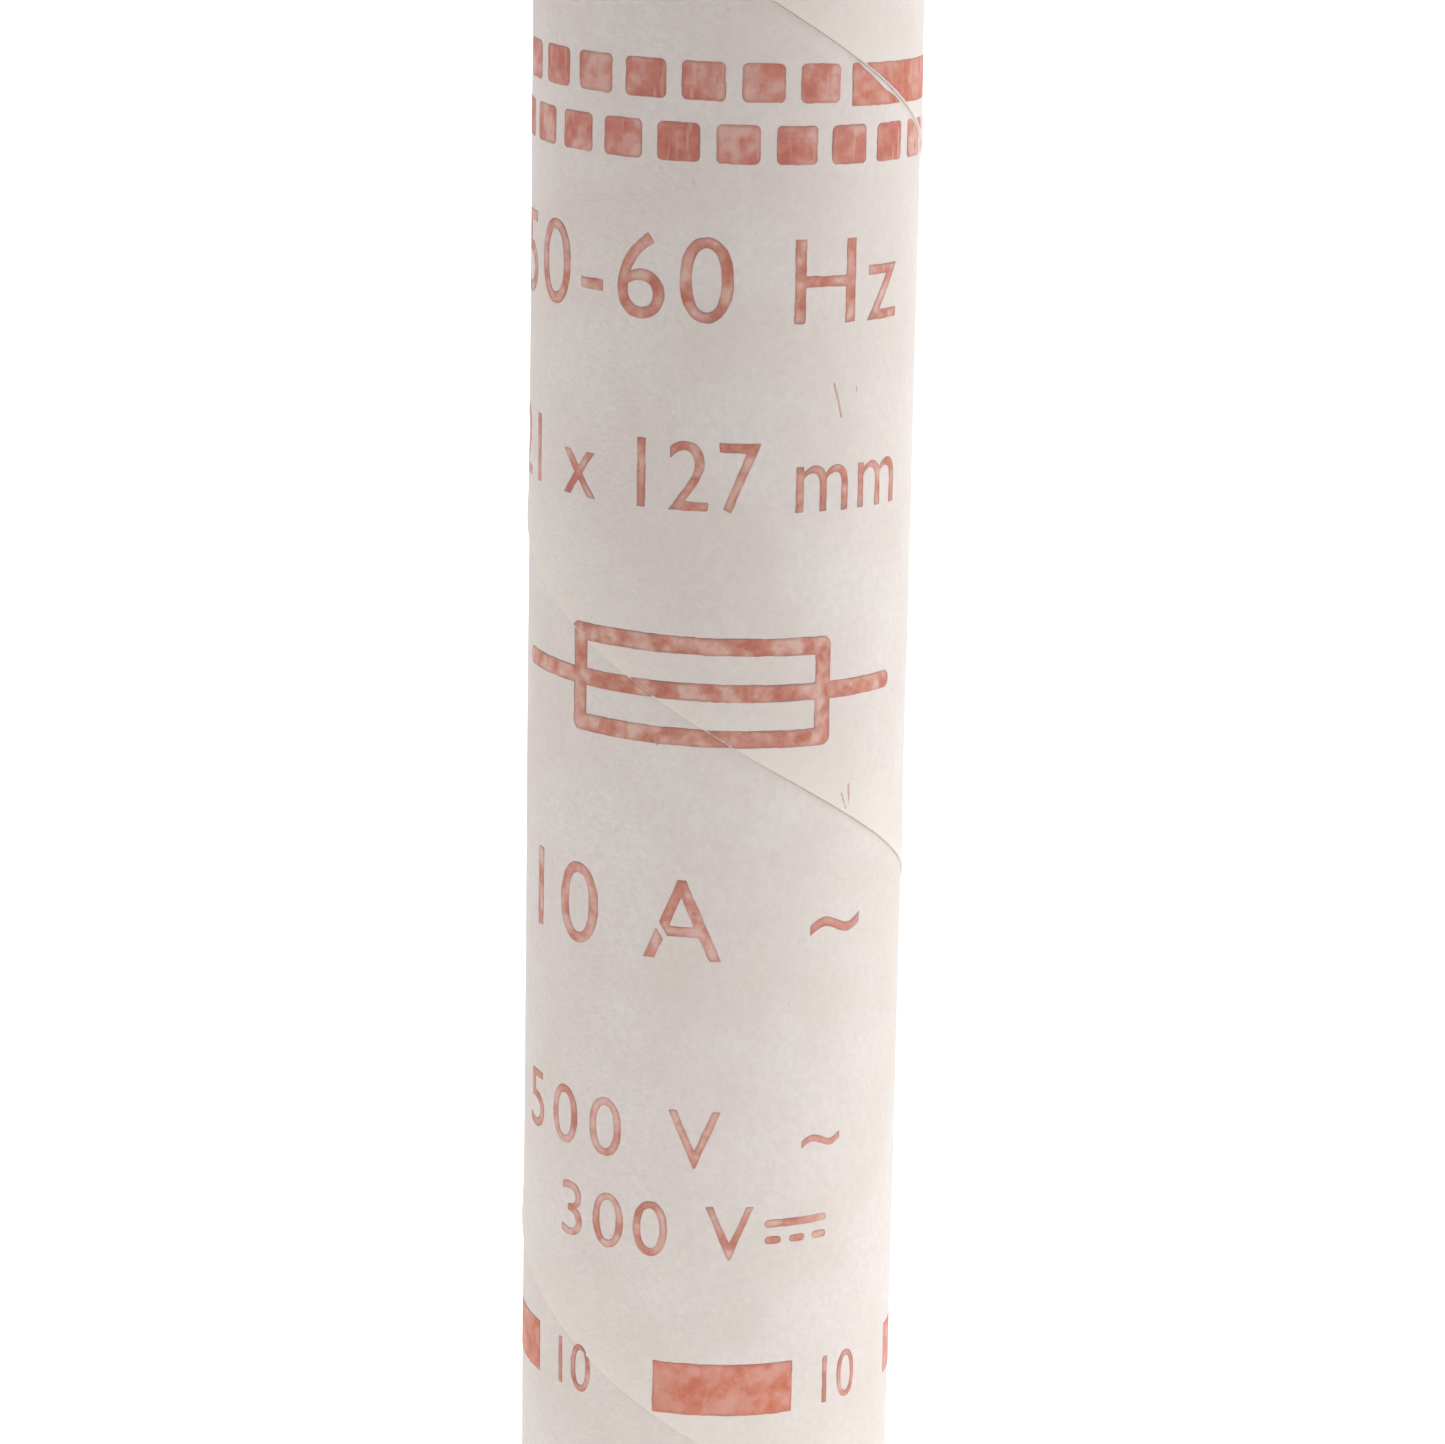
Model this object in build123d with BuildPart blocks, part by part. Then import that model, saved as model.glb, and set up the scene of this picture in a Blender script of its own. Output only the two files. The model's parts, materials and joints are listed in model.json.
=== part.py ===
"""One-time cartridge fuse with ferrule ends, 600 V class, 0-30 A case size.

A spiral-wound paper tube is closed by two drawn brass ferrules, each crimped into the
tube by one rolled groove. A punched zinc link runs through the quartz sand inside. At each
end it passes a slotted fibre washer, folds over it and is soldered to the ferrule.

The fuse stands upright. The origin is the centre of the lower ferrule's end face, and +Z
runs along the fuse. -Y is the side that carries the rating. All sizes are in millimetres.
"""

import os

from build123d import *

os.makedirs("parts", exist_ok=True)

# Standard case: five inches long, ferrules 13/16 inch across and 5/8 inch long
FUSE_LENGTH = 127.0
FERRULE_D = 20.64
FERRULE_LENGTH = 15.9

# Drawn ferrule
FERRULE_WALL = 0.5
FERRULE_END = 0.55
END_CORNER = 1.2
END_INNER_CORNER = 0.8
RIM_ROUND = 0.3

# The rolled crimp, measured from the end face of its ferrule
CRIMP_HEIGHT = 13.6
CRIMP_HALF_WIDTH = 1.1
CRIMP_DEPTH = 0.42
CRIMP_ROUND = 1.4
PRESSED_HALF = 1.6  # half the height of tube wall that a crimp presses in
PRESSED_ROUND = 1.0

# Tube: its outer size, and its plies from the bore outwards
TUBE_CLEARANCE = 0.02
LINER_THICKNESS = 0.3
KRAFT_THICKNESS = 0.5
KRAFT_PLIES = 4
WRAP_THICKNESS = 0.2
TUBE_R = FERRULE_D / 2 - FERRULE_WALL - TUBE_CLEARANCE
BORE_R = TUBE_R - WRAP_THICKNESS - KRAFT_PLIES * KRAFT_THICKNESS - LINER_THICKNESS

# Winding: every ply is a strip wound left-handed at the same lead, butted edge to edge
WINDING_LEAD = 37.8
WRAP_SEAM_HEIGHT = 65.1  # where the printed ply's seam crosses the middle of the -Y side
WRAP_GAP = 0.12
KRAFT_GAP = 0.3
PLY_STAGGER = 110.0  # degrees from one ply's seam to the next one's
SEAM_OVERRUN = 5.0
SEAM_CLEAR = 0.3

# End stack, measured inwards from the end face: solder layer, then washer, then tube
SOLDER_LAYER = 0.6
SOLDER_R = 6.0
GASKET_INNER_R = 6.4
GASKET_OUTER_R = 9.0
WASHER_THICKNESS = 0.8
WASHER_R = 9.6
WASHER_BASE = FERRULE_END + SOLDER_LAYER
TUBE_BASE = WASHER_BASE + WASHER_THICKNESS
SLOT_LENGTH = 3.5
SLOT_WIDTH = 0.5

# Punched zinc link
LINK_THICKNESS = 0.25
LINK_WIDTH = 3.0
LINK_BEND = 0.35
LINK_TAB = 4.5
SHANK_LENGTH = 16.0
RIBBON_WIDTH = 1.8
NECK_COUNT = 5
NECK_SPACING = 14.0
NECK_WIDTH = 0.5
NOTCH_R = 0.9
SHOULDER_SHARE = 0.9  # how much of the trimmed width a shoulder's round takes up

TOUCH = 0.01  # lengths that differ by less than this count as equal

# Each end has a section plane through the axis, with its local y running inwards from the end
# face, and a base plane on the end face with its z inwards.
TOP_CENTRE = (0, 0, FUSE_LENGTH)
SECTION = {
    "lower": Plane.XZ,
    "upper": Plane(origin=TOP_CENTRE, x_dir=(1, 0, 0), z_dir=(0, 1, 0)),
}
BASE = {
    "lower": Plane.XY,
    "upper": Plane(origin=TOP_CENTRE, x_dir=(1, 0, 0), z_dir=(0, 0, -1)),
}


def finish(piece, name):
    """Label a finished piece and write its STEP file."""
    piece.part.label = name
    export_step(piece.part, f"parts/{name}.step")


def crimp(radius, depth, height):
    """The three corner points of one crimp groove in a wall of that radius."""
    return [
        (radius, height - CRIMP_HALF_WIDTH),
        (radius - depth, height),
        (radius, height + CRIMP_HALF_WIDTH),
    ]


def ferrule(end):
    """A deep-drawn cup: flat end, rounded corner, straight contact wall, crimp, eased rim."""

    def wall(radius, start, corner):
        points = [(0, start), (radius, start), *crimp(radius, CRIMP_DEPTH, CRIMP_HEIGHT)]
        points.append((radius, FERRULE_LENGTH))
        return FilletPolyline(*points, radius=[corner] + [CRIMP_ROUND] * 3)

    with BuildPart() as cup:
        with BuildSketch(SECTION[end]):
            with BuildLine():
                outer = wall(FERRULE_D / 2, 0, END_CORNER)
                inner = wall(FERRULE_D / 2 - FERRULE_WALL, FERRULE_END, END_INNER_CORNER)
                Line(outer @ 0, inner @ 0)
                Line(outer @ 1, inner @ 1)
            make_face()
        revolve(axis=Axis.Z)
        rim = FERRULE_LENGTH if end == "lower" else FUSE_LENGTH - FERRULE_LENGTH
        rim_edges = cup.edges().filter_by(GeomType.CIRCLE).filter_by_position(
            Axis.Z, rim - TOUCH, rim + TOUCH
        )
        fillet(rim_edges.sort_by(SortBy.RADIUS)[-1], RIM_ROUND)
    finish(cup, f"{end}_ferrule")


def gasket(end):
    """A fibre-paper ring between the ferrule's end and the washer's rim."""
    with BuildPart() as ring:
        with BuildSketch(BASE[end].offset(FERRULE_END)):
            Circle(GASKET_OUTER_R)
            Circle(GASKET_INNER_R, mode=Mode.SUBTRACT)
        extrude(amount=SOLDER_LAYER)
    finish(ring, f"{end}_gasket")


def washer(end):
    """A vulcanised-fibre disc on the tube's end, which holds the sand in; the link passes its slot."""
    with BuildPart() as disc:
        with BuildSketch(BASE[end].offset(WASHER_BASE)):
            Circle(WASHER_R)
            Rectangle(SLOT_LENGTH, SLOT_WIDTH, mode=Mode.SUBTRACT)
        extrude(amount=WASHER_THICKNESS)
    finish(disc, f"{end}_washer")


def solder(end, link):
    """The solder that joins the link's folded tab to the inside of the ferrule's end."""
    with BuildPart() as pool:
        with BuildSketch(BASE[end].offset(FERRULE_END)):
            Circle(SOLDER_R)
        extrude(amount=SOLDER_LAYER)
        add(link, mode=Mode.SUBTRACT)
    finish(pool, f"{end}_solder")


def pressed_wall(radius, height):
    """A ply's surface across one crimp in section, pressed in less the nearer it is to the bore."""
    depth = CRIMP_DEPTH * (radius - BORE_R) / (TUBE_R - BORE_R)
    start = (radius, height - PRESSED_HALF)
    stop = (radius, height + PRESSED_HALF)
    if depth < TOUCH:
        return Line(start, stop)
    return FilletPolyline(start, *crimp(radius, depth, height), stop, radius=PRESSED_ROUND)


def seam(inner_r, outer_r, gap, turn):
    """The open butt seam of a wound strip: a thin left-handed helical bar, turned about Z."""
    height = FUSE_LENGTH + 2 * SEAM_OVERRUN
    deepest = inner_r - SEAM_CLEAR
    highest = outer_r + SEAM_CLEAR
    with BuildPart() as bar:
        with BuildLine() as path:
            Helix(
                pitch=WINDING_LEAD,
                height=height,
                radius=(deepest + highest) / 2,
                center=(0, 0, -SEAM_OVERRUN),
                lefthand=True,
            )
        with BuildSketch(Plane(path.line @ 0, x_dir=(1, 0, 0), z_dir=path.line % 0)):
            Rectangle(highest - deepest, gap)
        sweep(path=path.line, is_frenet=True)
    return bar.part.rotate(Axis.Z, turn)


def ply(name, inner_r, outer_r, gap, turn):
    """One wound strip of the tube. The crimps press its seam shut where they cross it."""
    crimps = (CRIMP_HEIGHT, FUSE_LENGTH - CRIMP_HEIGHT)
    with BuildPart() as strip:
        with BuildSketch(Plane.XY.offset(TUBE_BASE)):
            Circle(outer_r)
            Circle(inner_r, mode=Mode.SUBTRACT)
        extrude(amount=FUSE_LENGTH - 2 * TUBE_BASE)
        add(seam(inner_r, outer_r, gap, turn), mode=Mode.SUBTRACT)
        # Take out the straight wall at each crimp, then put the pressed-in wall in its place
        for height in crimps:
            with BuildSketch(Plane.XY.offset(height - PRESSED_HALF)):
                Circle(outer_r + SEAM_CLEAR)
                Circle(inner_r - SEAM_CLEAR, mode=Mode.SUBTRACT)
            extrude(amount=2 * PRESSED_HALF, mode=Mode.SUBTRACT)
        with BuildSketch(Plane.XZ):
            for height in crimps:
                with BuildLine():
                    outer = pressed_wall(outer_r, height)
                    inner = pressed_wall(inner_r, height)
                    Line(outer @ 0, inner @ 0)
                    Line(outer @ 1, inner @ 1)
                make_face()
        revolve(axis=Axis.Z)
    finish(strip, name)


def tube():
    """The spiral-wound tube, from the printed wrap in to the fibre liner."""
    # The helix starts on +X. It has turned back by this much where it crosses the -Y side.
    fall = 360 * (WRAP_SEAM_HEIGHT + SEAM_OVERRUN) / WINDING_LEAD
    turn = fall - 90
    radius = TUBE_R - WRAP_THICKNESS
    ply("printed_wrap", radius, TUBE_R, WRAP_GAP, turn)
    for number in range(KRAFT_PLIES, 0, -1):
        turn += PLY_STAGGER
        ply(f"kraft_ply_{number}", radius - KRAFT_THICKNESS, radius, KRAFT_GAP, turn)
        radius -= KRAFT_THICKNESS
    turn += PLY_STAGGER
    ply("fibre_liner", BORE_R, radius, KRAFT_GAP, turn)


def fusible_link():
    """The punched strip: folded tabs, wide shanks, and a narrow ribbon with notched necks."""
    tab_height = WASHER_BASE - LINK_THICKNESS / 2
    middle = FUSE_LENGTH / 2
    ribbon_half = middle - TUBE_BASE - SHANK_LENGTH
    trim_width = (LINK_WIDTH - RIBBON_WIDTH) / 2
    with BuildPart() as strip:
        with BuildSketch(Plane.YZ):
            with BuildLine():
                FilletPolyline(
                    (LINK_TAB, tab_height),
                    (0, tab_height),
                    (0, FUSE_LENGTH - tab_height),
                    (-LINK_TAB, FUSE_LENGTH - tab_height),
                    radius=LINK_BEND,
                )
            trace(line_width=LINK_THICKNESS)
        extrude(amount=LINK_WIDTH / 2, both=True)
        # Trim both edges down to the ribbon, with a rounded shoulder at each shank
        with BuildSketch(Plane.XZ):
            with Locations(
                ((RIBBON_WIDTH + trim_width) / 2, middle),
                (-(RIBBON_WIDTH + trim_width) / 2, middle),
            ):
                Rectangle(trim_width, 2 * ribbon_half)
        extrude(amount=LINK_THICKNESS, both=True, mode=Mode.SUBTRACT)
        shoulders = strip.edges().filter_by(Axis.Y).filter_by(
            lambda edge: abs(abs(edge.center().Z - middle) - ribbon_half) < TOUCH
            and abs(edge.center().X) < RIBBON_WIDTH / 2 + TOUCH
        )
        fillet(shoulders, trim_width * SHOULDER_SHARE)
        # Punch a pair of round notches at each neck
        with BuildSketch(Plane.XZ):
            for side in (-1, 1):
                with Locations((side * (NECK_WIDTH / 2 + NOTCH_R), middle)):
                    with GridLocations(0, NECK_SPACING, 1, NECK_COUNT):
                        Circle(NOTCH_R)
        extrude(amount=LINK_THICKNESS, both=True, mode=Mode.SUBTRACT)
    finish(strip, "fusible_link")
    return strip.part


def sand_filler(link):
    """The packed quartz sand, from washer to washer around the link."""
    with BuildPart() as fill:
        with BuildSketch(Plane.XY.offset(TUBE_BASE)):
            Circle(BORE_R)
        extrude(amount=FUSE_LENGTH - 2 * TUBE_BASE)
        add(link, mode=Mode.SUBTRACT)
    finish(fill, "sand_filler")


link_part = fusible_link()
sand_filler(link_part)
tube()
for fuse_end in SECTION:
    ferrule(fuse_end)
    gasket(fuse_end)
    washer(fuse_end)
    solder(fuse_end, link_part)
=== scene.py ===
"""Looks for the cartridge fuse: its printed wrap, the ink, every material, the studio and the camera.

Blender's objects are in metres, in the CAD frame: the fuse stands on the origin, +Z runs along it
and the rating faces -Y. A place on the tube is an arc, measured round from the middle of the -Y
side towards +X, and a height. Constants for the paper and the print are in millimetres.
"""
import json
import math

import bpy
import numpy as np
from mathutils import Matrix, Vector


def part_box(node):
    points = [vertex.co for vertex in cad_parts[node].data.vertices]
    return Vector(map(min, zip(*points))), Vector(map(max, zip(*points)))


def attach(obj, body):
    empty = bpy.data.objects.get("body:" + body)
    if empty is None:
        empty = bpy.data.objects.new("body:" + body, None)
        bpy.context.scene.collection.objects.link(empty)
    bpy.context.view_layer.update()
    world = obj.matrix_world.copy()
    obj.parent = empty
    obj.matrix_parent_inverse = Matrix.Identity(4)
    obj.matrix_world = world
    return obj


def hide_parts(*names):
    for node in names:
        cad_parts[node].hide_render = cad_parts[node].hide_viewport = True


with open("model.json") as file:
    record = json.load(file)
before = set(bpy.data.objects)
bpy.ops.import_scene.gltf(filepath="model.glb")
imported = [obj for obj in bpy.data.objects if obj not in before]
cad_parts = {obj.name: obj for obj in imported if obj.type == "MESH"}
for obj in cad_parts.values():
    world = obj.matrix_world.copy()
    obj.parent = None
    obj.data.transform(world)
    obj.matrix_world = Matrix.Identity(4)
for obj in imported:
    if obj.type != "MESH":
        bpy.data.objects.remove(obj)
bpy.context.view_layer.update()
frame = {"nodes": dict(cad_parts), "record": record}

MM = 0.001
TURN = 2 * math.pi

# The tube and the ends, from their CAD nodes
wrap_low, wrap_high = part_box("printed_wrap")
TUBE_R = wrap_high.x / MM
TUBE_BASE = wrap_low.z / MM
TUBE_TOP = wrap_high.z / MM
LOWER_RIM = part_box("lower_ferrule")[1].z / MM
UPPER_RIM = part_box("upper_ferrule")[0].z / MM
FUSE_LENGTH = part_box("upper_ferrule")[1].z / MM
MIDDLE = FUSE_LENGTH / 2

# The spiral wrap. Its lower edge lies over the turn below as a slightly raised lip.
LEAD = 37.8
SEAM_FRONT = 65.1  # the height at which the seam crosses the middle of the -Y side
WRAP_THICKNESS = 0.2
BUTT_GAP = 0.01
LIP_RISE = 0.1
LIP_FADE = 2.0
TUCK_DIP = 0.03
TUCK_FADE = 0.5
TUCK_SHADE = 0.22  # how far the painted shade under the lip's foot spreads down the turn below
PRESS_FADE = 2.5  # the lip and the waves are pressed flat over this distance from a ferrule

# Shallow waves in the paper: cycles round the tube, turn with height, phase and share
RIPPLE = 0.014
WAVES = ((3, 0.21, 0.0, 1.0), (5, -0.37, 1.3, 1.0), (2, 0.93, 4.0, 0.6))

# Where a ferrule's crimp presses the wrap in
CRIMP_HEIGHT = 13.6
CRIMP_DEPTH = 0.42
CRIMP_WIDTH = 0.7

# The strip's mesh: rows at these distances from the lip and from the tucked edge
LIP_ROWS = (0, 0.04, 0.1, 0.2, 0.35, 0.55, 0.8, 1.15, 1.6, 2.2, 3.0, 4.0, 5.2)
TUCK_ROWS = (1.5, 0.9, 0.5, 0.28, 0.14, 0.05, 0)
MIDDLE_ROWS = 25
COLUMNS_PER_TURN = 180
END_SLIVER = 0.002  # share of a turn left off each pointed end of the strip

# The print
PRINT_SLOPE = -0.022  # rows fall to the right by this much for each millimetre of arc
INK_GRID = 0.07
INK_PROUD = 0.012
INK_THICKNESS = 0.02
INK_MARGIN = 0.5
INK_RAGGED = 0.018
RAGGED_CELLS = (0.3, 0.9)
BARE_ABOVE = 0.03  # the ink stops this far above the lip's edge
BARE_CELL = 1.3
BARE_SEED = 31
FONT_CAP = 0.69  # a capital's share of the built-in font's size
FONT_STEPS = 8

NOISE_CELLS = 64  # cells before the surface noise repeats


# ---------------------------------------------------------------- shape of the wrapped surface


def value_noise(across, up, cell, seed):
    """Smooth noise from -1 to 1 over a plane, with features about one cell across."""
    lattice = np.random.default_rng(seed).uniform(-1, 1, (NOISE_CELLS, NOISE_CELLS))
    u = np.asarray(across, float) / cell
    v = np.asarray(up, float) / cell
    column = np.floor(u).astype(int)
    row = np.floor(v).astype(int)
    share_u = smooth_step(u - column, 0, 1)
    share_v = smooth_step(v - row, 0, 1)
    left = column % NOISE_CELLS
    right = (column + 1) % NOISE_CELLS
    near = row % NOISE_CELLS
    far = (row + 1) % NOISE_CELLS
    near_side = lattice[near, left] * (1 - share_u) + lattice[near, right] * share_u
    far_side = lattice[far, left] * (1 - share_u) + lattice[far, right] * share_u
    return near_side * (1 - share_v) + far_side * share_v


def smooth_step(value, low, high):
    """Rise smoothly from 0 at `low` to 1 at `high`."""
    share = np.clip((value - low) / (high - low), 0, 1)
    return share * share * (3 - 2 * share)


def seam_height(angle):
    """Height of the seam at an angle that counts on through the turns."""
    return SEAM_FRONT - LEAD * angle / TURN


def above_seam(angle, height):
    """How far a place lies above the lip of its own turn, from 0 to the lead."""
    return np.mod(height - seam_height(angle), LEAD)


def wrap_radius(angle, height, rise):
    """Outer radius of the wrap at an angle and height, where `rise` is its height above the lip."""
    free = smooth_step(height, LOWER_RIM, LOWER_RIM + PRESS_FADE)
    free = free * smooth_step(-height, -UPPER_RIM, -UPPER_RIM + PRESS_FADE)
    lift = LIP_RISE * np.exp(-rise / LIP_FADE) - TUCK_DIP * np.exp(-(LEAD - rise) / TUCK_FADE)
    waves = 0
    for cycles, twist, phase, share in WAVES:
        waves = waves + share * np.sin(cycles * angle + twist * height + phase)
    waves = waves / sum(wave[-1] for wave in WAVES)
    dents = 0
    for crimp in (CRIMP_HEIGHT, FUSE_LENGTH - CRIMP_HEIGHT):
        dents = dents + CRIMP_DEPTH * np.exp(-(((height - crimp) / CRIMP_WIDTH) ** 2))
    return TUBE_R + free * (lift + RIPPLE * waves) - dents


def on_tube(angle, height, radius):
    """Points in metres from an angle, a height and a radius in millimetres."""
    points = np.stack([radius * np.sin(angle), -radius * np.cos(angle), height], axis=-1)
    return points.reshape(-1, 3) * MM


# ---------------------------------------------------------------- meshes


def make_mesh(name, points, faces, attributes=()):
    """A smooth-shaded mesh object from arrays of points and of triangles or quads."""
    mesh = bpy.data.meshes.new(name)
    mesh.from_pydata(points.tolist(), [], faces.tolist())
    for key, values in attributes:
        layer = mesh.attributes.new(key, "FLOAT", "POINT")
        layer.data.foreach_set("value", np.asarray(values, np.float32).ravel())
    mesh.shade_smooth()
    mesh.update()
    piece = bpy.data.objects.new(name, mesh)
    bpy.context.scene.collection.objects.link(piece)
    return piece


def finish_piece(piece, material):
    """Give a piece its material, and say which body it rides on."""
    piece.data.materials.clear()
    piece.data.materials.append(material)
    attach(piece, "root")


def row_shares():
    """Shares of the strip's width for its rows of points, closest together along both edges."""
    near_lip = np.array(LIP_ROWS)
    near_tuck = LEAD - np.array(TUCK_ROWS)
    middle = np.linspace(near_lip[-1], near_tuck[0], MIDDLE_ROWS + 2)[1:-1]
    return np.concatenate([near_lip, middle, near_tuck]) / LEAD


def wrap_strip():
    """The outermost ply: one strip wound down the tube, as a closed sheet of real thickness."""
    first = (SEAM_FRONT - TUBE_TOP) / LEAD
    turns = (TUBE_TOP - TUBE_BASE) / LEAD + 1
    columns = int(turns * COLUMNS_PER_TURN)
    angle = TURN * np.linspace(first + END_SLIVER, first + turns - END_SLIVER, columns)[:, None]
    low = np.maximum(seam_height(angle), TUBE_BASE)
    high = np.minimum(seam_height(angle) + LEAD - BUTT_GAP, TUBE_TOP)
    height = low + (high - low) * row_shares()[None, :]
    rise = height - seam_height(angle)
    angle = np.broadcast_to(angle, height.shape)
    outer = wrap_radius(angle, height, rise)
    outer_points = on_tube(angle, height, outer)
    inner_points = on_tube(angle, height, outer - WRAP_THICKNESS)

    rows = height.shape[1]
    inner_start = columns * rows
    index = np.arange(columns * rows).reshape(columns, rows)
    skin = np.stack([index[:-1, :-1], index[1:, :-1], index[1:, 1:], index[:-1, 1:]], -1)
    skin = skin.reshape(-1, 4)
    sides = [index[:, 0], index[-1, 1:], index[-2::-1, -1], index[0, -2:0:-1]]
    outline = np.concatenate(sides)
    after = np.roll(outline, -1)
    edge = np.stack([after, outline, outline + inner_start, after + inner_start], -1)
    faces = np.concatenate([skin, (skin + inner_start)[:, ::-1], edge])

    lip = np.exp(-rise / LIP_FADE)
    # A mask for painted shade: the shadow the lip would cast on the turn below, darkest at the lip's
    # foot.
    painted_lip_shadow = np.exp(-(LEAD - BUTT_GAP - rise) / TUCK_SHADE)
    attributes = [("lip", np.tile(lip.ravel(), 2)), ("painted_lip_shadow", np.tile(painted_lip_shadow.ravel(), 2))]
    return make_mesh("wrap_strip", np.concatenate([outer_points, inner_points]), faces, attributes)


# ---------------------------------------------------------------- the print, as distance fields

# A mark is its lowest and highest corners and a function that gives its signed distance, negative
# inside it, over a grid. Across and up are the arc and the height above the middle of the fuse.


def text_outline(body, tracking):
    """The outline of a line of the built-in font, as segments, for a font size of one."""
    curve = bpy.data.curves.new("outline", "FONT")
    curve.body = body
    curve.space_character = tracking
    curve.resolution_u = FONT_STEPS
    holder = bpy.data.objects.new("outline", curve)
    bpy.context.scene.collection.objects.link(holder)
    bpy.context.view_layer.update()
    mesh = bpy.data.meshes.new_from_object(holder)
    points = np.array([vertex.co[:2] for vertex in mesh.vertices])
    edges = np.array([edge.vertices[:] for edge in mesh.edges])
    uses = np.zeros(len(mesh.edges), int)
    for loop in mesh.loops:
        uses[loop.edge_index] += 1
    bpy.data.objects.remove(holder)
    bpy.data.curves.remove(curve)
    bpy.data.meshes.remove(mesh)
    return points[edges[uses == 1]]


def distance_to_segment(across, up, start, stop):
    """Distance from places on a grid to the segment between two points."""
    along = np.array(stop) - np.array(start)
    share = (across - start[0]) * along[0] + (up - start[1]) * along[1]
    share = np.clip(share / max(along @ along, 1e-12), 0, 1)
    return np.hypot(across - start[0] - share * along[0], up - start[1] - share * along[1])


def outline_field(across, up, segments):
    """Signed distance to an outline over a grid: negative inside it, and capped far outside."""
    field = np.full((len(up), len(across)), INK_MARGIN)
    left = segments[:, :, 0].min(1)
    right = segments[:, :, 0].max(1)
    for column, place in enumerate(across):
        near = segments[(left < place + INK_MARGIN) & (right > place - INK_MARGIN)]
        if not len(near):
            continue
        start = near[:, 0]
        along = near[:, 1] - start
        offset_x = place - start[:, 0]
        offset_y = up[:, None] - start[None, :, 1]
        share = (offset_x * along[:, 0] + offset_y * along[:, 1]) / (along**2).sum(1).clip(1e-12)
        share = share.clip(0, 1)
        gap = np.hypot(offset_x - share * along[:, 0], offset_y - share * along[:, 1]).min(1)
        crossing = (near[:, 0, 0] <= place) != (near[:, 1, 0] <= place)
        slope = along[crossing, 1] / along[crossing, 0]
        level = start[crossing, 1] + slope * (place - start[crossing, 0])
        inside = (level[None, :] > up[:, None]).sum(1) % 2 == 1
        field[:, column] = np.where(inside, -gap, gap).clip(-INK_MARGIN, INK_MARGIN)
    return field


def text(body, left, baseline, cap, tracking=1.0, stretch=1.0):
    """A mark that is a line of text: left end, baseline and capital height in millimetres."""
    segments = text_outline(body, tracking)
    segments = segments - np.array([segments[:, :, 0].min(), 0])
    segments = segments * (cap / FONT_CAP) * np.array([stretch, 1]) + np.array([left, baseline])
    corners = segments.reshape(-1, 2)
    return corners.min(0), corners.max(0), lambda across, up: outline_field(across, up, segments)


def block(left, right, bottom, top, corner=0.06):
    """A mark that is a solid rectangle with rounded corners."""
    centre = ((left + right) / 2, (bottom + top) / 2)
    half = ((right - left) / 2 - corner, (top - bottom) / 2 - corner)

    def field(across, up):
        beyond_x = abs(across[None, :] - centre[0]) - half[0]
        beyond_y = abs(up[:, None] - centre[1]) - half[1]
        outside = np.hypot(beyond_x.clip(0), beyond_y.clip(0))
        return outside + np.maximum(beyond_x, beyond_y).clip(None, 0) - corner

    return np.array([left, bottom]), np.array([right, top]), field


def stroke(points, width):
    """A mark that is a line of even width through points, with round ends."""

    def field(across, up):
        grid_x, grid_y = np.meshgrid(across, up)
        gaps = [distance_to_segment(grid_x, grid_y, a, b) for a, b in zip(points, points[1:])]
        return np.minimum.reduce(gaps) - width / 2

    corners = np.array(points)
    return corners.min(0) - width, corners.max(0) + width, field


def frame_box(left, right, bottom, top, width):
    """A mark that is the outline of a rectangle, drawn with a line of even width."""
    corners = [(left, bottom), (right, bottom), (right, top), (left, top), (left, bottom)]
    return stroke(corners, width)


def bare_by_seam(field, across, height, bare):
    """Take the ink away from the lip's foot, in a strip of about the given width."""
    rise = above_seam(across / TUBE_R, height)
    width = bare * (0.75 + 0.6 * value_noise(across, height, BARE_CELL, BARE_SEED))
    field = np.maximum(field, rise - (LEAD - width))
    return np.maximum(field, BARE_ABOVE - rise)


def odd_first(triangles, odd):
    """Turn each triangle so that its odd corner comes first."""
    turn = np.argmax(odd, axis=1)[:, None]
    return np.take_along_axis(triangles, (np.arange(3)[None, :] + turn) % 3, 1)


def cut_grid(field, across, up):
    """Triangulate the negative part of a grid, cut exactly along its zero line."""
    rows, columns = field.shape
    value = field.ravel()
    grid_x, grid_y = np.meshgrid(across, up)
    places = np.stack([grid_x.ravel(), grid_y.ravel()], 1)
    index = np.arange(rows * columns).reshape(rows, columns)
    a, b = index[:-1, :-1].ravel(), index[:-1, 1:].ravel()
    c, d = index[1:, 1:].ravel(), index[1:, :-1].ravel()
    triangles = np.concatenate([np.stack([a, b, c], 1), np.stack([a, c, d], 1)])
    inside = value[triangles] < 0
    count = inside.sum(1)
    whole = triangles[count == 3]
    lone = odd_first(triangles[count == 1], inside[count == 1])
    pair = odd_first(triangles[count == 2], ~inside[count == 2])

    # A cut point on each grid edge that the zero line crosses, shared by its two triangles
    crossed = np.concatenate([group[:, ends] for group in (lone, pair) for ends in ([0, 1], [0, 2])])
    edges, owner = np.unique(np.sort(crossed, axis=1), axis=0, return_inverse=True)
    first, second = edges[:, 0], edges[:, 1]
    share = (value[first] / (value[first] - value[second]))[:, None]
    cuts = places[first] * (1 - share) + places[second] * share
    n, m = len(lone), len(pair)
    owner = owner.ravel() + rows * columns
    lone_a, lone_b, pair_a, pair_b = np.split(owner, [n, 2 * n, 2 * n + m])

    faces = np.concatenate([
        whole,
        np.stack([lone[:, 0], lone_a, lone_b], 1),
        np.stack([pair_a, pair[:, 1], pair[:, 2]], 1),
        np.stack([pair_a, pair[:, 2], pair_b], 1),
    ])
    places = np.concatenate([places, cuts])
    depth = np.concatenate([-value, np.zeros(len(cuts))]).clip(0)
    used, faces = np.unique(faces, return_inverse=True)
    return places[used], depth[used], faces.reshape(-1, 3)


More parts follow.
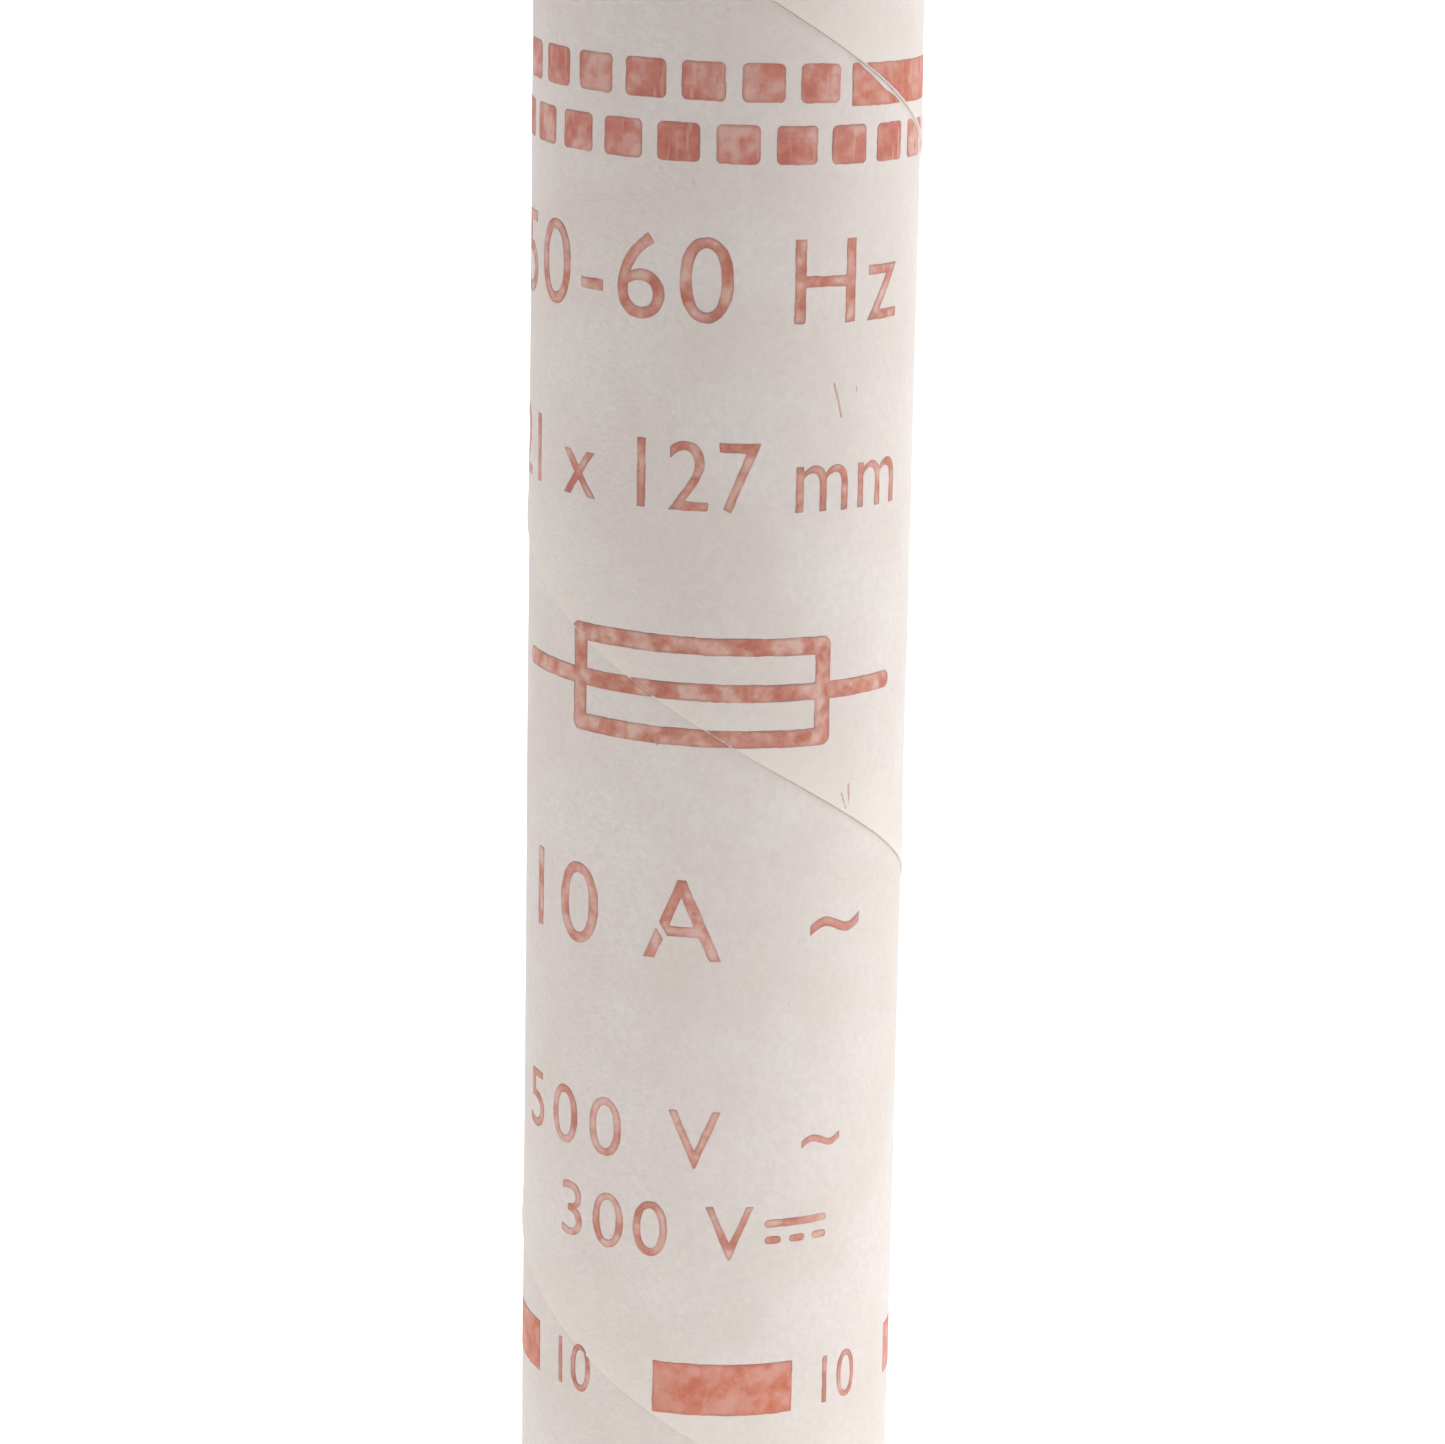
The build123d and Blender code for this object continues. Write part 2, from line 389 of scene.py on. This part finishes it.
def print_row(name, marks, material, scratches=(), seed=1, bare=0.08):
    """Ink one row of marks on to the wrap, as a film that stands a little proud of the paper."""
    low = np.min([mark[0] for mark in marks], 0) - INK_MARGIN
    high = np.max([mark[1] for mark in marks], 0) + INK_MARGIN
    across = np.arange(low[0], high[0], INK_GRID)
    up = np.arange(low[1], high[1], INK_GRID)
    field = np.minimum.reduce([mark[2](across, up) for mark in marks])
    grid_x, grid_y = np.meshgrid(across, up)
    height = MIDDLE + grid_y + PRINT_SLOPE * grid_x
    for step, cell in enumerate(RAGGED_CELLS):
        field = field + INK_RAGGED * value_noise(grid_x, height, cell, seed + step)
    for start, stop, width in scratches:
        gap = distance_to_segment(grid_x, grid_y, start, stop)
        field = np.maximum(field, width / 2 - gap)
    field = bare_by_seam(field, grid_x, height, bare)
    places, depth, faces = cut_grid(field, across, up)

    arc = places[:, 0]
    height = MIDDLE + places[:, 1] + PRINT_SLOPE * arc
    angle = arc / TUBE_R
    radius = wrap_radius(angle, height, above_seam(angle, height)) + INK_PROUD
    piece = make_mesh(name, on_tube(angle, height, radius), faces, [("depth", depth)])
    film = piece.modifiers.new("film", "SOLIDIFY")
    film.thickness = INK_THICKNESS * MM
    film.offset = -1
    finish_piece(piece, material)


# ---------------------------------------------------------------- materials


class Nodes:
    """A short way to build one procedural material."""

    def __init__(self, name):
        self.material = bpy.data.materials.new(name)
        self.material.use_nodes = True
        self.tree = self.material.node_tree
        self.shader = self.tree.nodes["Principled BSDF"]
        self.place = self.tree.nodes.new("ShaderNodeTexCoord").outputs["Object"]

    def plug(self, socket, value):
        """Link a value to a socket if it is another node's output, and set it there if not."""
        if isinstance(value, bpy.types.NodeSocket):
            self.tree.links.new(value, socket)
        else:
            socket.default_value = value

    def add(self, kind, inputs=None, **settings):
        node = self.tree.nodes.new(kind)
        for key, value in settings.items():
            setattr(node, key, value)
        for key, value in (inputs or {}).items():
            self.plug(node.inputs[key], value)
        return node

    def noise(self, scale, detail=3.0, roughness=0.5, stretch=(1, 1, 1), shift=(0, 0, 0)):
        """Noise from 0 to 1, with `scale` features to the metre, stretched along the axes."""
        inputs = {"Vector": self.place, "Scale": stretch, "Location": shift}
        mapping = self.add("ShaderNodeMapping", inputs)
        inputs = {"Vector": mapping.outputs[0], "Scale": scale, "Detail": detail, "Roughness": roughness}
        return self.add("ShaderNodeTexNoise", inputs).outputs["Fac"]

    def ramp(self, value, low, high, smooth=True):
        """Map a value from low..high to 0..1."""
        interpolation = "SMOOTHSTEP" if smooth else "LINEAR"
        inputs = {"Value": value, "From Min": low, "From Max": high}
        return self.add("ShaderNodeMapRange", inputs, interpolation_type=interpolation).outputs[0]

    def patches(self, low, high, scale, *shape, **more):
        """Noise made into patches: none of it counts below `low`, and all of it above `high`."""
        return self.ramp(self.noise(scale, *shape, **more), low, high)

    def math(self, operation, a, b=0.0):
        return self.add("ShaderNodeMath", {0: a, 1: b}, operation=operation).outputs[0]

    def times(self, a, b):
        return self.math("MULTIPLY", a, b)

    def line(self, value, slope, start):
        """A value times a slope, plus a start."""
        return self.math("ADD", self.times(value, slope), start)

    def mix(self, share, a, b):
        """Blend two colours."""
        node = self.add("ShaderNodeMix", data_type="RGBA")
        self.plug(node.inputs["Factor"], share)
        for key, color in ((6, a), (7, b)):
            self.plug(node.inputs[key], self.opaque(color))
        return node.outputs[2]

    def tint(self, color, share, amount, other):
        """Blend another colour in, by `amount` where the share is full."""
        return self.mix(self.times(share, amount), color, other)

    def opaque(self, color):
        """A plain colour with its alpha, or the same value if it is anything else."""
        return (*color, 1) if isinstance(color, tuple) else color

    def attribute(self, name):
        return self.add("ShaderNodeAttribute", attribute_name=name).outputs["Fac"]

    def split(self, vector):
        return self.add("ShaderNodeSeparateXYZ", {0: vector}).outputs

    def bump(self, height, strength, distance):
        inputs = {"Height": height, "Strength": strength, "Distance": distance}
        self.plug(self.shader.inputs["Normal"], self.add("ShaderNodeBump", inputs).outputs[0])

    def set(self, **values):
        """Set the shader's own sockets, by name with underscores for spaces."""
        for key, value in values.items():
            self.plug(self.shader.inputs[key.replace("_", " ")], self.opaque(value))


def printed_paper():
    """Matte off-white paper: fibre clouds, warm stains, faint flecks, a cream lip, and painted shade on
    the turn just below the lip.
    """
    light, dark = (0.688, 0.632, 0.592), (0.65, 0.582, 0.538)
    stain, thin_spot = (0.65, 0.578, 0.48), (0.58, 0.519, 0.482)
    fleck, cream, painted_shade = (0.41, 0.312, 0.254), (0.718, 0.655, 0.592), (0.49, 0.435, 0.395)
    m = Nodes("printed_paper")
    color = m.mix(m.patches(0.3, 0.7, 160, 4), dark, light)
    color = m.tint(color, m.patches(0.56, 0.74, 310, 3, 0.6, shift=(0.3, 0.8, 0.1)), 0.22, stain)
    formation = m.patches(0.3, 0.7, 2600, 4, 0.65)
    color = m.tint(color, formation, 0.42, thin_spot)
    color = m.tint(color, m.patches(0.74, 0.8, 2300, 2, 0.5, (1, 1, 0.5)), 0.3, fleck)
    color = m.tint(color, m.attribute("lip"), 0.75, cream)
    # Painted shade: the turn just below the lip is darkened where the lip would shadow it.
    painted_lip_shadow = m.times(m.attribute("painted_lip_shadow"), m.patches(0.2, 0.6, 500, 2))
    color = m.tint(color, painted_lip_shadow, 0.35, painted_shade)
    m.set(Base_Color=color, Roughness=m.line(formation, 0.1, 0.78))
    m.set(Specular_IOR_Level=0.3, Sheen_Weight=0.08)
    fibres = m.math("ADD", m.noise(5200, 3, 0.6), m.noise(1500, 3, 0.6))
    m.bump(fibres, 0.45, 0.00006)
    return m.material


def ink(name, deep, fill, wash, streaks=0.0, rim_share=0.75, patch_scale=560):
    """Rust-red ink laid on unevenly: washed-out patches, deep ones, a few spots and a dark rim.

    The rim follows the film's own depth attribute, its distance in from the mark's edge.
    """
    spot, brown_rim, grey_rim = (0.295, 0.098, 0.082), (0.369, 0.156, 0.127), (0.271, 0.18, 0.189)
    rim_width = 0.2
    m = Nodes(name)
    patches = m.patches(0.36, 0.64, patch_scale, 2, 0.5)
    mottle = m.patches(0.32, 0.68, 1500, 3, 0.5, shift=(0.2, 0.5, 0.3))
    grain = m.patches(0.3, 0.7, 6500, 2)
    cover = m.math("ADD", m.times(patches, 0.58), m.times(mottle, 0.3))
    cover = m.math("ADD", cover, m.times(grain, 0.12))
    color = m.mix(m.ramp(cover, 0.1, 0.5, smooth=False), wash, fill)
    color = m.mix(m.ramp(cover, 0.5, 0.95, smooth=False), color, deep)
    if streaks:
        lines = m.patches(0.54, 0.66, 2600, 2, 0.5, (1, 1, 0.12))
        color = m.tint(color, lines, streaks, wash)
    spots = m.patches(0.72, 0.79, 1300, 2, 0.5, shift=(0.7, 0.2, 0.6))
    color = m.tint(color, spots, 0.5, spot)
    uneven = m.patches(0.36, 0.62, 520, 3, 0.5, shift=(0.4, 0.1, 0.7))
    rim = m.mix(m.patches(0.52, 0.68, 350, 2), brown_rim, grey_rim)
    edge = m.times(m.ramp(m.attribute("depth"), rim_width, 0.0), m.line(uneven, 0.7, 0.3))
    color = m.tint(color, edge, rim_share, rim)
    m.set(Base_Color=color, Roughness=m.line(mottle, 0.12, 0.6), Specular_IOR_Level=0.35)
    m.bump(m.noise(4200, 3, 0.6), 0.3, 0.00004)
    return m.material


def kraft_paper():
    """Brown paper with its fibres running up the tube."""
    m = Nodes("kraft_paper")
    fibres = m.patches(0.3, 0.7, 900, 5, 0.65, (1, 1, 0.3))
    color = m.mix(fibres, (0.36, 0.24, 0.14), (0.5, 0.37, 0.24))
    m.set(Base_Color=color, Roughness=0.85, Specular_IOR_Level=0.25)
    m.bump(fibres, 0.4, 0.00008)
    return m.material


def vulcanised_fibre():
    """Hard pressed board, dark red-brown with a fine grain."""
    m = Nodes("vulcanised_fibre")
    grain = m.patches(0.3, 0.7, 1400, 4, 0.6)
    color = m.mix(grain, (0.24, 0.06, 0.045), (0.34, 0.11, 0.08))
    m.set(Base_Color=color, Roughness=m.line(grain, 0.15, 0.5))
    m.bump(grain, 0.3, 0.00005)
    return m.material


def gasket_paper():
    """Soft grey-buff fibre paper."""
    m = Nodes("gasket_paper")
    grain = m.patches(0.3, 0.7, 1100, 5, 0.7)
    m.set(Base_Color=m.mix(grain, (0.46, 0.42, 0.35), (0.6, 0.56, 0.48)), Roughness=0.9)
    m.bump(grain, 0.5, 0.00008)
    return m.material


def drawn_brass():
    """Satin brass: draw lines round the wall, rings on the end, tarnish, darker in the crimp groove."""
    dark, light, tarnished = (0.56, 0.375, 0.165), (0.72, 0.52, 0.265), (0.37, 0.225, 0.1)
    spotted, crimp_dark = (0.24, 0.13, 0.06), (0.2, 0.115, 0.05)
    rubbed, scratched = (0.84, 0.66, 0.38), (0.8, 0.61, 0.34)
    m = Nodes("brass")
    x, y, z = m.split(m.place)
    from_middle = m.math("ABSOLUTE", m.math("SUBTRACT", z, MIDDLE * MM))
    radius = m.math("SQRT", m.math("ADD", m.math("POWER", x, 2), m.math("POWER", y, 2)))
    facing = m.split(m.add("ShaderNodeNewGeometry").outputs["Normal"])
    on_end = m.ramp(m.math("ABSOLUTE", facing[2]), 0.8, 0.97)

    lines = m.noise(700, 4, 0.7, (0.12, 0.12, 14))
    ring_inputs = {"W": radius, "Scale": 5200.0, "Detail": 3.0}
    rings = m.add("ShaderNodeTexNoise", ring_inputs, noise_dimensions="1D").outputs["Fac"]
    cut = m.math("ADD", m.times(m.math("SUBTRACT", rings, lines), on_end), lines)
    color = m.mix(m.ramp(cut, 0.3, 0.7), dark, light)
    tarnish = m.patches(0.4, 0.68, 150, 5, 0.62)
    color = m.tint(color, tarnish, 0.55, tarnished)
    color = m.tint(color, m.patches(0.64, 0.72, 700, 3, 0.6, shift=(0.2, 0.6, 0.9)), 0.5, spotted)

    from_crimp = m.math("ABSOLUTE", m.math("SUBTRACT", from_middle, (MIDDLE - CRIMP_HEIGHT) * MM))
    # Darker and rougher in a band along the crimp groove.
    crimp_darkening = m.times(m.ramp(from_crimp, 1.2 * MM, 0.2 * MM), m.patches(0.2, 0.6, 420, 4))
    color = m.tint(color, crimp_darkening, 0.6, crimp_dark)
    at_corner = m.ramp(from_middle, (MIDDLE - 1.9) * MM, (MIDDLE - 0.3) * MM)
    worn = m.times(at_corner, m.patches(0.4, 0.6, 380, 4))
    worn = m.times(worn, m.math("SUBTRACT", 1.0, on_end))
    color = m.tint(color, worn, 0.7, rubbed)
    scratches = m.patches(0.67, 0.71, 2100, 2, 0.5, (1, 0.05, 0.3), (0.5, 0.3, 0.8))
    color = m.tint(color, scratches, 0.35, scratched)

    fine = m.patches(0.3, 0.7, 3000, 3, 0.7, (0.08, 0.08, 5), (0.3, 0.2, 0.1))
    rough = m.line(fine, 0.1, 0.24)
    rough = m.math("ADD", rough, m.times(m.math("MAXIMUM", tarnish, crimp_darkening), 0.18))
    m.set(Base_Color=color, Roughness=rough, Metallic=1.0)
    m.bump(m.math("ADD", cut, m.times(fine, 0.3)), 0.22, 0.00003)
    return m.material


def dull_metal(name, dark, light, scale):
    """Grey metal, clouded light and dark."""
    m = Nodes(name)
    cloud = m.patches(0.3, 0.7, scale, 5, 0.6)
    m.set(Base_Color=m.mix(cloud, dark, light), Metallic=1.0, Roughness=m.line(cloud, 0.25, 0.35))
    m.bump(cloud, 0.3, 0.00005)
    return m.material


def quartz_sand():
    """Pale grains, each a cell of its own."""
    m = Nodes("quartz_sand")
    cells = m.add("ShaderNodeTexVoronoi", {"Vector": m.place, "Scale": 2600.0}).outputs["Distance"]
    tone = m.ramp(cells, 0.0, 0.7)
    m.set(Base_Color=m.mix(tone, (0.72, 0.66, 0.55), (0.45, 0.4, 0.32)), Roughness=0.7)
    m.bump(cells, 0.8, 0.0002)
    return m.material


PAPER = printed_paper()

# Each ink as its deep, even and washed-out colours
INK = ink("ink", (0.435, 0.139, 0.09), (0.54, 0.262, 0.198), (0.605, 0.385, 0.318), patch_scale=900)
BOLD_INK = ink("ink_bold", (0.45, 0.13, 0.088), (0.52, 0.2, 0.152), (0.58, 0.345, 0.29), streaks=0.6)
BAR_INK = ink(
    "ink_bar", (0.46, 0.118, 0.068), (0.515, 0.182, 0.122), (0.55, 0.275, 0.213),
    streaks=0.3, rim_share=0.6, patch_scale=1000,
)
PALE_INK = ink(
    "ink_pale", (0.47, 0.165, 0.112), (0.575, 0.295, 0.232), (0.63, 0.415, 0.35),
    rim_share=0.6, patch_scale=900,
)
SOLID_INK = ink(
    "ink_solid", (0.497, 0.143, 0.076), (0.56, 0.213, 0.146), (0.585, 0.277, 0.213),
    rim_share=0.7, patch_scale=1000,
)
STRAY_INK = ink(
    "ink_stray", (0.574, 0.369, 0.312), (0.599, 0.426, 0.377), (0.64, 0.508, 0.467), rim_share=0.3
)
CAD_MATERIALS = {
    "kraft_paper": kraft_paper(),
    "vulcanised_fibre": vulcanised_fibre(),
    "gasket_paper": gasket_paper(),
    "brass": drawn_brass(),
    "solder": dull_metal("solder", (0.38, 0.38, 0.4), (0.6, 0.6, 0.62), 900),
    "zinc": dull_metal("zinc", (0.42, 0.44, 0.47), (0.6, 0.62, 0.64), 1600),
    "quartz_sand": quartz_sand(),
}
slot_of_node = {part["node"]: part["material_slot"] for part in frame["record"]["subparts"]}
for node, piece in frame["nodes"].items():
    material = CAD_MATERIALS.get(slot_of_node[node])
    if material:
        piece.data.materials.clear()
        piece.data.materials.append(material)


# ---------------------------------------------------------------- the wrap and its print

strip = wrap_strip()
finish_piece(strip, PAPER)
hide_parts("printed_wrap")

# Two bands of dashes, the upper one with a long dash. The lip's foot stays bare across them.
DASH = 2.15
DASH_PITCH = 2.95
DASH_CORNER = 0.28
WIDE_BARE = 0.3


def dashes(start, count, bottom, top):
    """A band of dashes of one length, from the left end of the first."""
    lefts = [start + k * DASH_PITCH for k in range(count)]
    return [block(left, left + DASH, bottom, top, DASH_CORNER) for left in lefts]


upper_dashes = dashes(start=-14.0, count=7, bottom=33.2, top=35.1)
lower_dashes = dashes(start=-15.2, count=11, bottom=30.2, top=32.1)
long_dash = [block(left=6.6, right=14.6, bottom=33.0, top=35.1)]
print_row("print_dashes_upper", upper_dashes, BOLD_INK, seed=11, bare=WIDE_BARE)
print_row("print_long_dash", long_dash, BAR_INK, seed=12, bare=WIDE_BARE)
print_row("print_dashes_lower", lower_dashes, BOLD_INK, seed=13, bare=WIDE_BARE)

frequency = [text("50-60 Hz", left=-14.6, baseline=22.4, cap=4.2, tracking=1.12)]
case_size = [text("21 x 127 mm", left=-15.2, baseline=13.0, cap=3.5, tracking=1.05, stretch=0.92)]
print_row("print_frequency", frequency, INK, seed=14)
print_row("print_case_size", case_size, INK, seed=15)

# The standard symbol for a fuse: a box with the conductor drawn through it
SYMBOL_LINE = 0.9
symbol = [
    frame_box(left=-7.6, right=5.6, bottom=1.5, top=6.2, width=SYMBOL_LINE),
    stroke([(-12.4, 3.85), (10.2, 3.85)], SYMBOL_LINE),
]
print_row("print_fuse_symbol", symbol, INK, seed=16)

# The rating, with a scratch across it
current = [text("10 A  ~", left=-11.3, baseline=-10.1, cap=4.2, tracking=1.13)]
scratch = [((-2.9, -8.2), (-1.5, -10.4), 0.3)]
voltage = [text("500 V  ~", left=-12.2, baseline=-21.1, cap=3.1, tracking=1.26)]
print_row("print_current", current, PALE_INK, scratch, seed=17)
print_row("print_voltage_ac", voltage, PALE_INK, seed=18)

# The direct voltage, with the sign for direct current: a line over three short ones
SIGN_LINE = 0.4
direct = [text("300 V", left=-8.6, baseline=-26.0, cap=2.9, tracking=1.15)]
direct.append(stroke([(3.2, -24.1), (6.4, -24.1)], SIGN_LINE))
for left in (3.2, 4.55, 5.9):
    direct.append(stroke([(left, -25.0), (left + 0.5, -25.0)], SIGN_LINE))
print_row("print_voltage_dc", direct, PALE_INK, seed=19)

# The rating band, repeated four times round the tube
BAND_REPEATS = 4
BAND_PITCH = TURN * TUBE_R / BAND_REPEATS
starts = [(k - 1) * BAND_PITCH for k in range(BAND_REPEATS)]
blocks = [block(start - 2.7, start + 4.7, bottom=-34.5, top=-31.7) for start in starts]
numbers = [text("10", start + 6.6, baseline=-34.4, cap=2.6, stretch=0.82) for start in starts]
print_row("print_band_blocks", blocks, SOLID_INK, seed=20, bare=WIDE_BARE / 2)
print_row("print_band_numbers", numbers, INK, seed=21)

# Hair-thin ink marks where the wrap was rubbed
stray = [
    stroke([(5.9, 19.4), (6.15, 18.6), (6.4, 17.7)], 0.12),
    stroke([(7.3, 19.2), (7.35, 18.9)], 0.1),
    stroke([(6.9, -1.6), (7.2, -2.4)], 0.1),
    stroke([(7.4, -1.2), (7.45, -2.5)], 0.1),
    stroke([(-3.1, 1.3), (-2.95, 1.0)], 0.12),
]
print_row("print_stray_marks", stray, STRAY_INK, seed=22)


# ---------------------------------------------------------------- studio and camera

WHITE = (1.0, 1.0, 1.0)


def floor(half_size=6.0):
    """A plain pale floor at the fuse's foot."""
    corners = [(-half_size, -half_size, 0), (half_size, -half_size, 0)]
    corners += [(half_size, half_size, 0), (-half_size, half_size, 0)]
    plane = make_mesh("floor", np.array(corners), np.array([[0, 1, 2, 3]]))
    m = Nodes("floor")
    m.set(Base_Color=(0.93, 0.925, 0.92), Roughness=0.9, Specular_IOR_Level=0.1)
    plane.data.materials.append(m.material)
    return plane


def room(level, tint):
    """The soft even light of a white room."""
    world = bpy.data.worlds.new("studio")
    bpy.context.scene.world = world
    world.use_nodes = True
    background = world.node_tree.nodes["Background"]
    background.inputs["Color"].default_value = (*tint, 1)
    background.inputs["Strength"].default_value = level


def area_light(name, place, target, size, power, tint):
    """A rectangular light at a place in metres, which faces its target."""
    light = bpy.data.lights.new(name, "AREA")
    light.shape = "RECTANGLE"
    light.size, light.size_y = size
    light.energy = power
    light.color = tint
    holder = bpy.data.objects.new(name, light)
    holder.location = place
    holder.rotation_euler = (target - place).to_track_quat("-Z", "Y").to_euler()
    bpy.context.scene.collection.objects.link(holder)
    return holder


def softbox(name, bearing, distance, height, size, power, tint):
    """An upright soft light that faces the fuse, on a bearing counted from -Y towards +X."""
    turn = math.radians(bearing)
    place = Vector((distance * math.sin(turn), -distance * math.cos(turn), height))
    area_light(name, place, Vector((0, 0, MIDDLE * MM)), size, power, tint)


def floor_light(plane, back, height, size, power, spread):
    """A wide overhead light with a narrow beam, which falls on the floor alone and whitens it."""
    place = Vector((0, back, height))
    below = Vector((0, back, 0))
    holder = area_light("floor_light", place, below, size, power, WHITE)
    holder.data.spread = math.radians(spread)
    lit = bpy.data.collections.new("lit_by_floor_light")
    lit.objects.link(plane)
    holder.light_linking.receiver_collection = lit


def camera():
    """A long lens, a little above the fuse, aimed at the middle of its length."""
    lens = 117.2
    sensor = 36.0
    nearest = 0.01
    distance = 0.24442
    side_shift = 0.00033
    elevation = math.radians(13.69)
    roll = math.radians(1.022)
    forward = Vector((0, math.cos(elevation), -math.sin(elevation)))
    up = Vector((0, math.sin(elevation), math.cos(elevation)))
    right = Vector((1, 0, 0))
    rolled_right = right * math.cos(roll) + up * math.sin(roll)
    rolled_up = up * math.cos(roll) - right * math.sin(roll)
    data = bpy.data.cameras.new("camera")
    data.lens = lens
    data.sensor_width = sensor
    data.clip_start = nearest
    holder = bpy.data.objects.new("camera", data)
    place = Vector((side_shift, 0, MIDDLE * MM)) - forward * distance
    axes = Matrix((rolled_right, rolled_up, -forward)).transposed().to_4x4()
    holder.matrix_world = Matrix.Translation(place) @ axes
    bpy.context.scene.collection.objects.link(holder)
    bpy.context.scene.camera = holder


ground = floor()
room(level=0.56, tint=(0.99, 0.989, 1.016))
softbox(
    "key", bearing=98, distance=0.6, height=0.16, size=(0.5, 0.6), power=2.14,
    tint=(0.975, 0.989, 1.013),
)
softbox("rim", bearing=-125, distance=0.6, height=0.14, size=(0.3, 0.5), power=0.33, tint=WHITE)

# What a small white card at the fuse's foot throws up at its lower half
card_place = Vector((0.02, -0.06, 0.008))
card_target = Vector((0, 0, 0.01))
area_light("foot_card", card_place, card_target, size=(0.1, 0.016), power=0.0042, tint=WHITE)

floor_light(ground, back=0.61, height=0.9, size=(1.4, 1.5), power=7.0, spread=25)
camera()
bpy.context.scene.view_settings.view_transform = "Standard"
